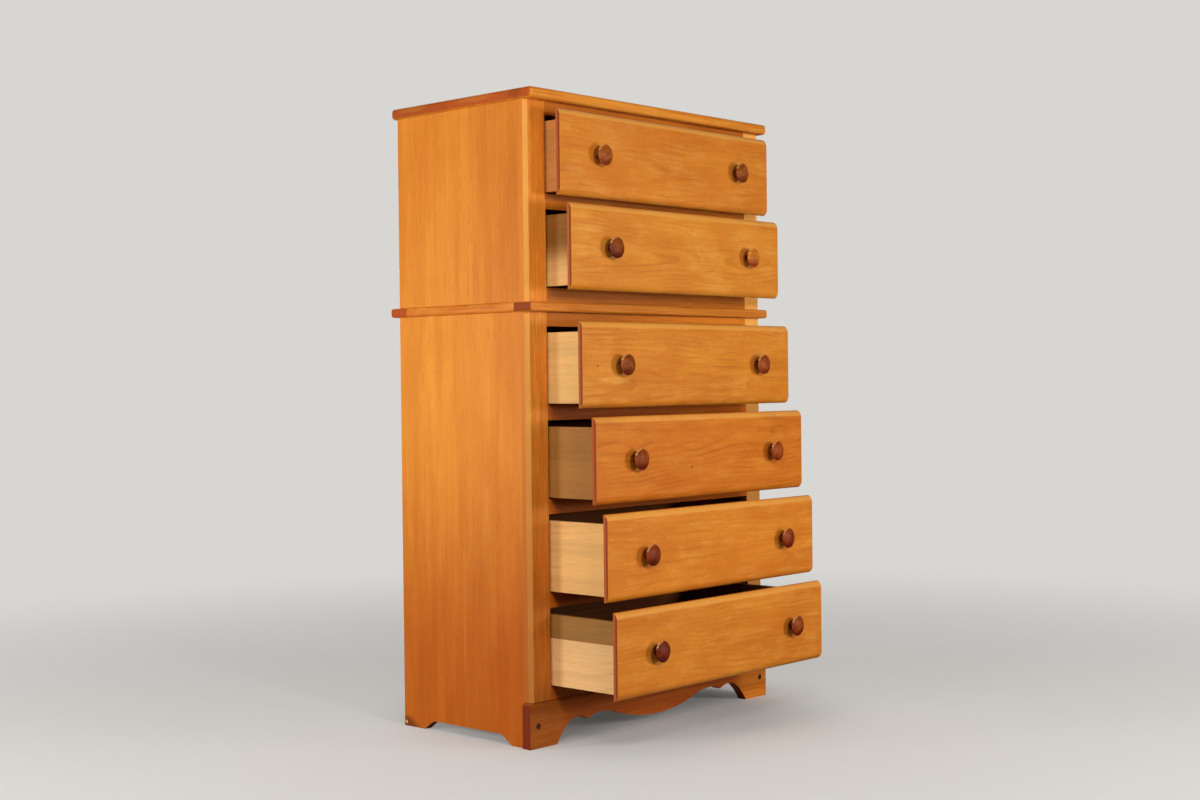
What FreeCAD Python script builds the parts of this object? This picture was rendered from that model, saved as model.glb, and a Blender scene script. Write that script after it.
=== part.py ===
"""Chest on chest: a two-drawer case on a four-drawer case, all in solid maple.

Lengths are in millimetres. The part's frame has +X to the right seen from the front, +Y to the back
and +Z up; its origin is on the floor, under the middle of the box that the chest fills with its
drawers standing open. Most places are first worked out from the face of the drawer frame.
"""
import FreeCAD, Part
import Sketcher
import os

Vector = FreeCAD.Vector

doc = FreeCAD.newDocument("ChestOnChest")
sheet = doc.addObject("Spreadsheet::Sheet", "sizes")
size = {}


def put(**values):
    """Write each named size into the sheet as a plain number, and keep it for the places."""
    for name, value in values.items():
        cell = "A" + str(len(size) + 1)
        sheet.set(cell, repr(float(value)))
        sheet.setAlias(cell, name)
        size[name] = float(value)


# ---------------------------------------------------------------- driving sizes

# Both cases
put(case_width=762, case_depth=385, side_thick=19, stile_width=56, stile_thick=20, stile_chamfer=7.5)
put(opening_height=158, rail_height=31.5, tenon_thick=7, tenon_length=12)
put(back_thick=5, back_rabbet=8, back_rail_width=45)
# Lower case, from the floor up: apron, bottom rail, four openings, top rail
put(apron_height=91, base_rail_height=28, lower_top_rail_height=29)
# Upper case: bottom rail, two openings, top rail
put(upper_base_rail_height=29.5, upper_top_rail_height=27)
# Waist frame and top board, with how far they stand out at the side, front and rear
put(waist_thick=19.5, waist_side_over=5, waist_front_over=16.5, waist_rear_over=21.5)
put(waist_rail_width=49.5, waist_edge_round=5, waist_tenon_inset=10)
put(top_thick=22, top_side_over=6, top_front_over=21.5, top_rear_over=16, top_edge_round=6.5)
put(top_corner_round=10)
# Runners, guide strips and cleats
put(runner_width=60, runner_rise=2, guide_height=18, guide_gap=1, cleat_height=27)
# Apron: it stands proud of the frame and of the sides
put(apron_proud=2, apron_end_over=6, apron_round=6, plug_radius=6.35, plug_inset=17, plug_height=44.5)
put(plug_depth=6, glue_block_leg=32, glue_block_height=66)
# Apron scroll, from the foot inwards: foot, arch, cusp, crest and the hanging belly
put(foot_width=76, arch_run=39, arch_rise=42, arch_radius=60, foot_curve_radius=140)
put(cusp_run=93, cusp_rise=38, cusp_radius=76, crest_run=129, crest_rise=47, belly_rise=16.5)
put(belly_share=0.7)
# Cut-out between the feet of a side
put(side_foot_front=38, side_foot_rear=64, side_arch_rise=20, side_arch_run=29, side_arch_radius=25)
# Drawer fronts
put(front_side_lip=14.5, front_top_lip=7.25, lip_edge=2, round_depth=9.5, round_width=15)
put(tongue_thick=9.5, tongue_gap=1.5)
# Drawer boxes
put(box_side_thick=12, box_top_gap=12.7, box_seat_gap=0.3, box_rear_gap=15)
put(bottom_thick=5, bottom_groove=5, bottom_rise=10, back_dado=5)
put(tail_count=6, tail_length=8, tail_root=10, tail_tip=14.5)
# Turned knobs
put(knob_inset=114.5, knob_length=26, knob_neck_radius=8.5, knob_neck_reach=7.5)
put(knob_head_radius=21.5, knob_rim_reach=17.5, knob_crown_radius=36.5)

# How far each drawer stands open, from the top one down
put(drawer_1_open=44.3, drawer_2_open=73, drawer_3_open=99.4)
put(drawer_4_open=133.6, drawer_5_open=161.2, drawer_6_open=183.5)
UPPER_DRAWERS = 2
LOWER_DRAWERS = 4

# ---------------------------------------------------------------- sizes worked out

case_half = size["case_width"] / 2
level = size["opening_height"] + size["rail_height"]
base_height = size["apron_height"] + size["base_rail_height"]
lower_top = (base_height + LOWER_DRAWERS * level - size["rail_height"]
             + size["lower_top_rail_height"])
upper_bottom = lower_top + size["waist_thick"]
upper_base = upper_bottom + size["upper_base_rail_height"]
upper_top = (upper_base + UPPER_DRAWERS * level - size["rail_height"]
             + size["upper_top_rail_height"])

put(opening_half=case_half - size["stile_width"])
put(side_inner_half=case_half - size["side_thick"])
put(back_half=size["side_inner_half"] + size["back_rabbet"])
put(back_plane=size["case_depth"] - size["back_thick"])
put(back_rail_front=size["back_plane"] - size["back_rail_width"])
put(runner_length=size["back_rail_front"] - size["stile_thick"])
put(side_depth=size["case_depth"] - size["stile_thick"])
put(side_back_plane=size["side_depth"] - size["back_thick"])

put(lower_side_height=lower_top, upper_side_height=upper_top - upper_bottom)
put(lower_stile_height=lower_top - size["apron_height"], upper_stile_height=upper_top - upper_bottom)
put(lower_back_height=lower_top - size["apron_height"])

put(top_half=case_half + size["top_side_over"])
put(top_depth=size["case_depth"] + size["top_front_over"] + size["top_rear_over"])
put(waist_half=case_half + size["waist_side_over"])
waist_depth = size["case_depth"] + size["waist_front_over"] + size["waist_rear_over"]
put(waist_side_length=waist_depth - 2 * size["waist_rail_width"])
put(waist_tenon_half=size["waist_side_length"] / 2 + size["tenon_length"])
put(waist_side_half=size["waist_side_length"] / 2)
put(waist_tenon_start=size["waist_rail_width"] - size["tenon_length"])
put(waist_tenon_bottom=(size["waist_thick"] - size["tenon_thick"]) / 2)
put(waist_mortise_inner=size["waist_half"] - size["waist_rail_width"])
put(waist_mortise_outer=size["waist_half"] - size["waist_tenon_inset"])

put(tenon_front=(size["stile_thick"] - size["tenon_thick"]) / 2)
put(tenon_back=(size["stile_thick"] + size["tenon_thick"]) / 2)
put(rail_tenon_half=size["opening_half"] + size["tenon_length"])
put(mortise_start=size["stile_width"] - size["tenon_length"])

put(apron_half=case_half + size["apron_end_over"])
put(apron_thick=size["stile_thick"] + size["apron_proud"])
put(foot_inner=size["apron_half"] - size["foot_width"])
put(arch_outer=size["foot_inner"] - size["arch_run"])
put(cusp_place=size["foot_inner"] - size["cusp_run"])
put(crest_place=size["foot_inner"] - size["crest_run"])
put(plug_place=case_half - size["plug_inset"])

# The belly arc and the cove beside it are tangent: the sum of their radii follows from the crest.
belly_drop = size["crest_rise"] - size["belly_rise"]
radius_sum = (size["crest_place"] ** 2 + belly_drop ** 2) / (2 * belly_drop)
put(belly_radius=size["belly_share"] * radius_sum, cove_radius=(1 - size["belly_share"]) * radius_sum)
put(sway_place=size["belly_share"] * size["crest_place"])
put(sway_rise=size["belly_rise"] + size["belly_share"] * belly_drop)

put(side_foot_rear_edge=size["side_depth"] - size["side_foot_rear"])
put(side_arch_front=size["side_foot_front"] + size["side_arch_run"])
put(side_arch_rear=size["side_foot_rear_edge"] - size["side_arch_run"])

put(front_width=2 * (size["opening_half"] + size["front_side_lip"]))
put(front_height=size["opening_height"] + 2 * size["front_top_lip"])
put(lip_thick=size["lip_edge"] + size["round_depth"])
put(tongue_width=2 * (size["opening_half"] - size["tongue_gap"]))
put(tongue_half=size["tongue_width"] / 2, tongue_bottom=size["front_top_lip"] + size["tongue_gap"])
put(tongue_top=size["front_height"] - size["tongue_bottom"])
put(front_half=size["front_width"] / 2)
# A round that meets the face tangent and stops at the flat edge of the lip
put(thumb_radius=(size["round_width"] ** 2 + size["round_depth"] ** 2) / (2 * size["round_depth"]))
put(thumb_top=size["front_height"] - size["round_width"])

box_lift = size["runner_rise"] + size["box_seat_gap"]
put(box_height=size["opening_height"] - size["box_top_gap"] - box_lift)
put(box_length=size["back_plane"] - size["box_rear_gap"] - size["tongue_thick"])
put(box_inner_half=size["tongue_half"] - size["box_side_thick"])
put(tail_pitch=size["box_height"] / size["tail_count"])
put(groove_half=size["box_inner_half"] + size["bottom_groove"])
put(groove_top=size["bottom_rise"] + size["bottom_thick"])
put(front_groove_bottom=size["front_top_lip"] + box_lift + size["bottom_rise"])
put(front_groove_top=size["front_groove_bottom"] + size["bottom_thick"])
put(bottom_length=size["box_length"] + size["bottom_groove"])
put(box_back_height=size["box_height"] - size["groove_top"])
put(box_back_half=size["box_inner_half"] + size["back_dado"])
put(dado_front=size["box_length"] - size["box_side_thick"])

# Dovetails, evenly spaced up the side; the sockets in the front lie at the same heights
put(socket_floor=size["tongue_thick"] - size["tail_length"])
socket_lift = size["front_top_lip"] + box_lift
for i in range(int(size["tail_count"])):
    middle = (i + 0.5) * size["tail_pitch"]
    for part, width in (("root", size["tail_root"]), ("tip", size["tail_tip"])):
        for edge, height in (("low", middle - width / 2), ("high", middle + width / 2)):
            put(**{"tail_%s_%s_%d" % (part, edge, i): height})
            put(**{"socket_%s_%s_%d" % (part, edge, i): height + socket_lift})

put(guide_width=size["side_inner_half"] - size["tongue_half"] - size["guide_gap"])
for rail in ("rail_height", "base_rail_height", "upper_base_rail_height"):
    put(**{rail + "_ledge": size[rail] + size["runner_rise"]})
    put(**{rail + "_guide": size[rail + "_ledge"] + size["guide_height"]})
put(knob_place=size["front_half"] - size["knob_inset"])
put(knob_crown_centre=size["knob_crown_radius"] - size["knob_length"])

# The face of the drawer frame, so that the origin is under the middle of the open chest
drawers_open = [size["drawer_%d_open" % (i + 1)] for i in range(UPPER_DRAWERS + LOWER_DRAWERS)]
furthest_front = max(drawers_open) + size["lip_thick"] + size["knob_length"]
furthest_back = size["case_depth"] + max(size["top_rear_over"], size["waist_rear_over"])
FRAME_Y = (furthest_front - furthest_back) / 2

doc.recompute()

# ---------------------------------------------------------------- helpers

nodes = []


def node(piece, label):
    """Name a finished piece: its label is the name of its file."""
    piece.Label = label
    nodes.append(piece)
    return piece


def bind(feature, **cells):
    """Tie each property of the feature to a cell of the sheet."""
    for prop, name in cells.items():
        feature.setExpression(prop, "sizes." + name)


def number(coordinate):
    """The value of a coordinate that is written as the name of a size, with a minus sign or as 0."""
    if coordinate == "0":
        return 0.0
    if coordinate.startswith("-"):
        return -size[coordinate[1:]]
    return size[coordinate]


def new_body(name):
    return doc.addObject("PartDesign::Body", name)


def place(body, x, y, z):
    """Put a piece at a place given across, back from the frame's face and up from the floor."""
    body.Placement = FreeCAD.Placement(Vector(x, FRAME_Y + y, z), FreeCAD.Rotation())


def sketch_on(body, plane, offset=None):
    """A sketch on a plane of the body's own origin, moved off it by a named size."""
    sketch = body.newObject("Sketcher::SketchObject", body.Name + "_sketch")
    support = next(f for f in body.Origin.OriginFeatures if f.Role == plane)
    sketch.AttachmentSupport = [(support, "")]
    sketch.MapMode = "FlatFace"
    if offset is not None:
        sign = "-" if offset.startswith("-") else ""
        sketch.setExpression("AttachmentOffset.Base.z", sign + "sizes." + offset.lstrip("-"))
    return sketch


def tie(sketch, kind, geometry, end, coordinate):
    """Hold one end of an edge at a named distance from the sketch's origin."""
    if coordinate == "0":
        axis = -2 if kind == "DistanceX" else -1
        sketch.addConstraint(Sketcher.Constraint("PointOnObject", geometry, end, axis))
        return
    order = (geometry, end, -1, 1) if coordinate.startswith("-") else (-1, 1, geometry, end)
    index = sketch.addConstraint(Sketcher.Constraint(kind, *order, abs(number(coordinate))))
    sketch.setExpression("Constraints[%d]" % index, "sizes." + coordinate.lstrip("-"))


def arc_edge(start, end, radius, side):
    """The shorter arc between two points, with its centre to the left (+1) or right (-1) of the way."""
    chord = end - start
    across = Vector(-chord.y, chord.x, 0).normalize()
    centre = (start + end) / 2 + across * side * (radius ** 2 - (chord.Length / 2) ** 2) ** 0.5
    circle = Part.Circle(centre, Vector(0, 0, 1), radius)
    first, last = (start, end) if side > 0 else (end, start)
    return Part.ArcOfCircle(circle, circle.parameter(first), circle.parameter(last))


def outline(sketch, points):
    """A closed outline. A point is (x, y), or (x, y, radius, side) where an arc leaves it."""
    places = [Vector(number(p[0]), number(p[1]), 0) for p in points]
    ends = []
    for i, point in enumerate(points):
        start, end = places[i], places[(i + 1) % len(places)]
        if len(point) == 2:
            geometry = sketch.addGeometry(Part.LineSegment(start, end), False)
            ends.append((geometry, 1, 2))
            continue
        radius, side = point[2:]
        geometry = sketch.addGeometry(arc_edge(start, end, size[radius], side), False)
        ends.append((geometry, 1, 2) if side > 0 else (geometry, 2, 1))
        index = sketch.addConstraint(Sketcher.Constraint("Radius", geometry, size[radius]))
        sketch.setExpression("Constraints[%d]" % index, "sizes." + radius)
    for i, (geometry, first, last) in enumerate(ends):
        following, following_first, _ = ends[(i + 1) % len(ends)]
        sketch.addConstraint(Sketcher.Constraint("Coincident", geometry, last, following, following_first))
        tie(sketch, "DistanceX", geometry, first, points[i][0])
        tie(sketch, "DistanceY", geometry, first, points[i][1])
    return sketch


def rectangle(sketch, left, right, low, high):
    return outline(sketch, [(left, low), (right, low), (right, high), (left, high)])


def disc(sketch, x, y, radius):
    """A circle with a named radius about a named point."""
    centre = Vector(number(x), number(y), 0)
    geometry = sketch.addGeometry(Part.Circle(centre, Vector(0, 0, 1), size[radius]), False)
    index = sketch.addConstraint(Sketcher.Constraint("Radius", geometry, size[radius]))
    sketch.setExpression("Constraints[%d]" % index, "sizes." + radius)
    tie(sketch, "DistanceX", geometry, 3, x)
    tie(sketch, "DistanceY", geometry, 3, y)
    return sketch


def pad(body, sketch, length, back=False, both=False):
    """Add material to a named length; back turns it round, both spreads it to either side."""
    feature = body.newObject("PartDesign::Pad", body.Name + "_pad")
    feature.Profile = sketch
    feature.Reversed = back
    if both:
        feature.SideType = "Symmetric"
    bind(feature, Length=length)
    doc.recompute()
    return feature


def pocket(body, sketch, length=None, back=False, both=False):
    """Cut to a named depth, or through all; a cut that removes nothing is refused."""
    volume = body.Shape.Volume
    feature = body.newObject("PartDesign::Pocket", body.Name + "_pocket")
    feature.Profile = sketch
    feature.Reversed = back
    if both:
        feature.SideType = "Symmetric"
    if length is None:
        feature.Type = "ThroughAll"
    else:
        bind(feature, Length=length)
    doc.recompute()
    if body.Shape.Volume > volume - 1:
        raise RuntimeError(feature.Name + " cuts nothing")
    return feature


def mirrored(body, features):
    """Repeat features on the other side of the body's middle."""
    feature = body.newObject("PartDesign::Mirrored", body.Name + "_mirrored")
    feature.Originals = features
    middle = next(f for f in body.Origin.OriginFeatures if f.Role == "YZ_Plane")
    feature.MirrorPlane = (middle, [""])
    body.Tip = feature
    doc.recompute()
    return feature


def rounded(body, chosen, radius, kind="PartDesign::Fillet", prop="Radius"):
    """Round, or chamfer, the edges of the body's tip that the test picks by their middle point."""
    tip = body.Tip
    names = []
    for i, edge in enumerate(tip.Shape.Edges):
        middle = edge.valueAt((edge.FirstParameter + edge.LastParameter) / 2)
        if chosen(middle, edge):
            names.append("Edge%d" % (i + 1))
    feature = body.newObject(kind, body.Name + "_edges")
    feature.Base = (tip, names)
    bind(feature, **{prop: radius})
    doc.recompute()
    return feature


def near(value, target):
    return abs(value - target) < 0.01


def opposite(piece):
    """The right-hand piece that mirrors a left-hand one across the chest's middle."""
    feature = doc.addObject("Part::Mirroring", piece.Name + "_opposite")
    feature.Source = piece
    feature.Normal = (1, 0, 0)
    feature.Base = (0, 0, 0)
    return feature


def group(pieces, label):
    """Alike pieces that share a node as separate solids."""
    compound = doc.addObject("Part::Compound", label)
    compound.Links = pieces
    return node(compound, label)


def pair(left, label):
    """A left-hand piece and its opposite, sharing a node."""
    return group([left, opposite(left)], label)


# ---------------------------------------------------------------- cases

def lower_side():
    """Left side of the lower case: a board with the foot cut-out and the back panel's rabbet."""
    body = new_body("lower_left_side")
    sketch = sketch_on(body, "YZ_Plane")
    outline(sketch, [
        ("0", "0"), ("side_foot_front", "0"), ("side_arch_front", "side_arch_rise"),
        ("side_arch_rear", "side_arch_rise"), ("side_foot_rear_edge", "0"), ("side_depth", "0"),
        ("side_depth", "lower_side_height"), ("0", "lower_side_height")])
    pad(body, sketch, "side_thick")
    rounded(body, lambda p, e: near(p.z, size["side_arch_rise"]) and near(p.x, size["side_thick"] / 2),
            "side_arch_radius")
    cut_back_rabbet(body, "apron_height", "lower_side_height")
    place(body, -case_half, size["stile_thick"], 0)
    return node(body, "lower_left_side")


def upper_side():
    """Left side of the upper case."""
    body = new_body("upper_left_side")
    pad(body, rectangle(sketch_on(body, "YZ_Plane"), "0", "side_depth", "0", "upper_side_height"),
        "side_thick")
    cut_back_rabbet(body, "0", "upper_side_height")
    place(body, -case_half, size["stile_thick"], upper_bottom)
    return node(body, "upper_left_side")


def cut_back_rabbet(body, low, high):
    """Rabbet along the rear inner edge of a side, for the back panel."""
    sketch = rectangle(sketch_on(body, "YZ_Plane", "side_thick"), "side_back_plane", "side_depth", low, high)
    pocket(body, sketch, "back_rabbet")


def stile(label, height, base, rail_levels):
    """Left stile of a drawer frame, chamfered outside and mortised for the rails' stub tenons."""
    body = new_body(label)
    pad(body, rectangle(sketch_on(body, "XY_Plane"), "0", "stile_width", "0", "stile_thick"), height)
    rounded(body, lambda p, e: near(p.x, 0) and near(p.y, 0), "stile_chamfer",
            "PartDesign::Chamfer", "Size")
    sketch = sketch_on(body, "XZ_Plane", "-tenon_front")
    for low, high in rail_levels:
        rectangle(sketch, "mortise_start", "stile_width", low, high)
    pocket(body, sketch, "tenon_thick")
    place(body, -case_half, 0, base)
    return node(body, label)


def front_rail(label, height, base):
    """Rail of a drawer frame: its stub tenons fill the mortises of the two stiles."""
    body = new_body(label)
    sketch = sketch_on(body, "XY_Plane")
    outline(sketch, [
        ("-opening_half", "0"), ("opening_half", "0"), ("opening_half", "tenon_front"),
        ("rail_tenon_half", "tenon_front"), ("rail_tenon_half", "tenon_back"),
        ("opening_half", "tenon_back"), ("opening_half", "stile_thick"),
        ("-opening_half", "stile_thick"), ("-opening_half", "tenon_back"),
        ("-rail_tenon_half", "tenon_back"), ("-rail_tenon_half", "tenon_front"),
        ("-opening_half", "tenon_front")])
    pad(body, sketch, height)
    place(body, 0, 0, base)
    return body


def back_rail(label, height, base):
    """Rear rail of a web frame, between the sides and in front of the back panel."""
    body = new_body(label)
    pad(body, rectangle(sketch_on(body, "XY_Plane"), "-side_inner_half", "side_inner_half",
                        "back_rail_front", "back_plane"), height)
    place(body, 0, 0, base)
    return body


def rail_levels(openings, base, base_rail, top_rail):
    """(name of its height, height of its underside) for each rail of a case, from the bottom up."""
    levels = [(base_rail, base)]
    for i in range(1, openings):
        levels.append(("rail_height", base + size[base_rail] + i * level - size["rail_height"]))
    levels.append((top_rail, base + size[base_rail] + openings * level - size["rail_height"]))
    return levels


def runner(label, rail, base):
    """Left runner: a ledge that carries the drawer's side, with the guide strip worked on it."""
    body = new_body(label)
    ledge, guide = rail + "_ledge", rail + "_guide"
    sketch = sketch_on(body, "XZ_Plane")
    outline(sketch, [("0", "0"), ("runner_width", "0"), ("runner_width", ledge),
                     ("guide_width", ledge), ("guide_width", guide), ("0", guide)])
    pad(body, sketch, "runner_length", back=True)
    place(body, -size["side_inner_half"], size["stile_thick"], base)
    return body


def cleat(label, top):
    """Left cleat under a case's lid: it carries the lid's screws and keeps the drawer from tipping."""
    body = new_body(label)
    pad(body, rectangle(sketch_on(body, "XZ_Plane"), "0", "runner_width", "0", "cleat_height"),
        "runner_length", back=True)
    place(body, -size["side_inner_half"], size["stile_thick"], top - size["cleat_height"])
    return body


def back_panel(label, height, base):
    """Thin panel in the rabbets of the sides, nailed to the rear rails."""
    body = new_body(label)
    pad(body, rectangle(sketch_on(body, "XY_Plane"), "-back_half", "back_half", "back_plane",
                        "case_depth"), height)
    place(body, 0, 0, base)
    return node(body, label)


def case(name, openings, base, base_rail, top_rail, top, side, panel_height):
    """Everything fixed in one case, but for its lid and its base."""
    levels = rail_levels(openings, base, base_rail, top_rail)
    mortises = []
    for i, (height, low) in enumerate(levels):
        put(**{name + "_mortise_low_" + str(i): low - base,
               name + "_mortise_high_" + str(i): low - base + size[height]})
        edge = "0" if i == 0 else name + "_mortise_low_" + str(i)
        mortises.append((edge, name + "_mortise_high_" + str(i)))
    doc.recompute()

    node(opposite(side()), name + "_right_side")
    left_stile = stile(name + "_left_stile", name + "_stile_height", base, mortises)
    node(opposite(left_stile), name + "_right_stile")
    group([front_rail(name + "_front_rail_" + str(i), height, low)
           for i, (height, low) in enumerate(levels)], name + "_front_rails")
    group([back_rail(name + "_back_rail_" + str(i), height, low)
           for i, (height, low) in enumerate(levels)], name + "_back_rails")
    runners = []
    for i, (height, low) in enumerate(levels[:-1]):
        left = runner(name + "_runner_" + str(i), height, low)
        runners += [left, opposite(left)]
    group(runners, name + "_runners")
    back_panel(name + "_back_panel", panel_height, base)
    left_cleat = cleat(name + "_cleat", top)
    return [left_cleat, opposite(left_cleat)]


# ---------------------------------------------------------------- waist frame and top board

def waist_rail(label, front):
    """Front or rear rail of the waist frame, right across, mortised for the two side rails."""
    body = new_body(label)
    pad(body, rectangle(sketch_on(body, "XY_Plane"), "-waist_half", "waist_half", "0",
                        "waist_rail_width"), "waist_thick")
    tip_face = size["waist_rail_width"] if front else 0
    rounded(body, lambda p, e: (near(p.z, 0) or near(p.z, size["waist_thick"]))
            and not near(p.y, tip_face), "waist_edge_round")
    low, high = ("waist_tenon_start", "waist_rail_width") if front else ("0", "tenon_length")
    for first, last in (("-waist_mortise_outer", "-waist_mortise_inner"),
                        ("waist_mortise_inner", "waist_mortise_outer")):
        sketch = rectangle(sketch_on(body, "XY_Plane", "waist_tenon_bottom"), first, last, low, high)
        pocket(body, sketch, "tenon_thick", back=True)
    near_y = -size["waist_front_over"]
    far_y = size["case_depth"] + size["waist_rear_over"] - size["waist_rail_width"]
    place(body, 0, near_y if front else far_y, lower_top)
    return node(body, label)


def waist_side_rail():
    """Left side rail of the waist frame, with a stub tenon at each end."""
    body = new_body("waist_side_rail")
    pad(body, rectangle(sketch_on(body, "XY_Plane"), "0", "waist_rail_width", "-waist_side_half",
                        "waist_side_half"), "waist_thick")
    rounded(body, lambda p, e: near(p.x, 0) and not near(p.z, size["waist_thick"] / 2),
            "waist_edge_round")
    sketch = sketch_on(body, "XY_Plane", "waist_tenon_bottom")
    rectangle(sketch, "waist_tenon_inset", "waist_rail_width", "-waist_tenon_half", "waist_tenon_half")
    pad(body, sketch, "tenon_thick")
    middle = (size["case_depth"] + size["waist_rear_over"] - size["waist_front_over"]) / 2
    place(body, -size["waist_half"], middle, lower_top)
    return body


def top_board():
    """The board on top: rounded at its corners in plan and all round its edges."""
    body = new_body("top_board")
    pad(body, rectangle(sketch_on(body, "XY_Plane"), "-top_half", "top_half", "0", "top_depth"),
        "top_thick")
    rounded(body, lambda p, e: near(p.z, size["top_thick"] / 2), "top_corner_round")
    rounded(body, lambda p, e: near(p.z, 0) or near(p.z, size["top_thick"]), "top_edge_round")
    place(body, 0, -size["top_front_over"], upper_top)
    return node(body, "top_board")


# ---------------------------------------------------------------- base

def base_apron():
    """Bracket base: half its scroll is drawn and mirrored, and its upper edges are rounded."""
    body = new_body("base_apron")
    sketch = sketch_on(body, "XZ_Plane")
    outline(sketch, [
        ("0", "belly_rise", "belly_radius", 1),
        ("sway_place", "sway_rise", "cove_radius", -1),
        ("crest_place", "crest_rise", "cusp_radius", -1),
        ("cusp_place", "cusp_rise", "arch_radius", -1),
        ("arch_outer", "arch_rise", "foot_curve_radius", -1),
        ("foot_inner", "0"),
        ("apron_half", "0"),
        ("apron_half", "apron_height"),
        ("0", "apron_height")])
    half = pad(body, sketch, "apron_thick", back=True)
    mirrored(body, [half])
    rounded(body, lambda p, e: near(p.z, size["apron_height"]) and not near(p.y, size["apron_thick"]),
            "apron_round")
    sketch = disc(sketch_on(body, "XZ_Plane"), "-plug_place", "plug_height", "plug_radius")
    left_hole = pocket(body, sketch, "plug_depth")
    mirrored(body, [left_hole])
    place(body, 0, -size["apron_proud"], 0)
    return node(body, "base_apron")


def apron_plug():
    """Left plug over the screw that holds the apron to the side."""
    body = new_body("apron_plug")
    sketch = disc(sketch_on(body, "XZ_Plane"), "0", "0", "plug_radius")
    pad(body, sketch, "plug_depth", back=True)
    place(body, -size["plug_place"], -size["apron_proud"], size["plug_height"])
    return body


def glue_block():
    """Left glue block: a three-cornered prism in the corner behind the apron."""
    body = new_body("glue_block")
    sketch = sketch_on(body, "XY_Plane")
    outline(sketch, [("0", "0"), ("glue_block_leg", "0"), ("0", "glue_block_leg")])
    pad(body, sketch, "glue_block_height")
    room = (size["apron_height"] - size["glue_block_height"]) / 2
    place(body, -size["side_inner_half"], size["stile_thick"], room)
    return body


# ---------------------------------------------------------------- drawers

def drawer_front(label):
    """Lipped front: thumbnail edges above and below, square ends, a tongue behind with sockets."""
    body = new_body(label)
    lip = rectangle(sketch_on(body, "XZ_Plane"), "-front_half", "front_half", "0", "front_height")
    pad(body, lip, "lip_thick")
    tongue = rectangle(sketch_on(body, "XZ_Plane"), "-tongue_half", "tongue_half",
                       "tongue_bottom", "tongue_top")
    pad(body, tongue, "tongue_thick", back=True)

    top = sketch_on(body, "YZ_Plane")
    outline(top, [("-lip_thick", "thumb_top", "thumb_radius", -1), ("-lip_edge", "front_height"),
                  ("-lip_thick", "front_height")])
    pocket(body, top, both=True)
    low = sketch_on(body, "YZ_Plane")
    outline(low, [("-lip_thick", "round_width", "thumb_radius", 1), ("-lip_edge", "0"),
                  ("-lip_thick", "0")])
    pocket(body, low, both=True)

    groove = rectangle(sketch_on(body, "XZ_Plane", "-tongue_thick"), "-groove_half", "groove_half",
                       "front_groove_bottom", "front_groove_top")
    pocket(body, groove, "bottom_groove", back=True)
    sockets = sketch_on(body, "YZ_Plane", "-tongue_half")
    for i in range(int(size["tail_count"])):
        outline(sockets, [("socket_floor", "socket_tip_low_" + str(i)),
                          ("tongue_thick", "socket_root_low_" + str(i)),
                          ("tongue_thick", "socket_root_high_" + str(i)),
                          ("socket_floor", "socket_tip_high_" + str(i))])
    left_sockets = pocket(body, sockets, "box_side_thick", back=True)
    mirrored(body, [left_sockets])
    return body


def drawer_side(label):
    """Left side of a drawer: tails in front, grooved for the bottom and dadoed for the back."""
    body = new_body(label)
    sketch = sketch_on(body, "YZ_Plane")
    points = [("0", "0"), ("box_length", "0"), ("box_length", "box_height"), ("0", "box_height")]
    for i in reversed(range(int(size["tail_count"]))):
        points += [("0", "tail_root_high_" + str(i)), ("-tail_length", "tail_tip_high_" + str(i)),
                   ("-tail_length", "tail_tip_low_" + str(i)), ("0", "tail_root_low_" + str(i))]
    outline(sketch, points)
    pad(body, sketch, "box_side_thick")
    groove = rectangle(sketch_on(body, "YZ_Plane", "box_side_thick"), "-tail_length", "box_length",
                       "bottom_rise", "groove_top")
    pocket(body, groove, "bottom_groove")
    dado = rectangle(sketch_on(body, "YZ_Plane", "box_side_thick"), "dado_front", "box_length",
                     "groove_top", "box_height")
    pocket(body, dado, "back_dado")
    return body


def knob(label):
    """Turned mushroom knob: a neck, a flared back and a rim, crowned by a part of a sphere."""
    blank = new_body(label + "_blank")
    sketch = sketch_on(blank, "XY_Plane")
    outline(sketch, [
        ("0", "0"),
        ("knob_neck_radius", "0"),
        ("knob_neck_radius", "-knob_neck_reach"),
        ("knob_head_radius", "-knob_rim_reach"),
        ("knob_head_radius", "-knob_length"),
        ("0", "-knob_length")])
    turned = blank.newObject("PartDesign::Revolution", blank.Name + "_turned")
    turned.Profile = sketch
    turned.ReferenceAxis = (sketch, ["V_Axis"])
    turned.Angle = 360
    crown = doc.addObject("Part::Sphere", label + "_crown")
    bind(crown, Radius="knob_crown_radius")
    crown.setExpression("Placement.Base.y", "sizes.knob_crown_centre")
    piece = doc.addObject("Part::Common", label)
    piece.Base = blank
    piece.Tool = crown
    doc.recompute()
    return piece


def box_board(label, width, depth, height):
    """A plain board centred across, with its front edge on the body's origin."""
    body = new_body(label)
    pad(body, rectangle(sketch_on(body, "XY_Plane"), "-" + width, width, "0", depth), height)
    return body


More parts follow.
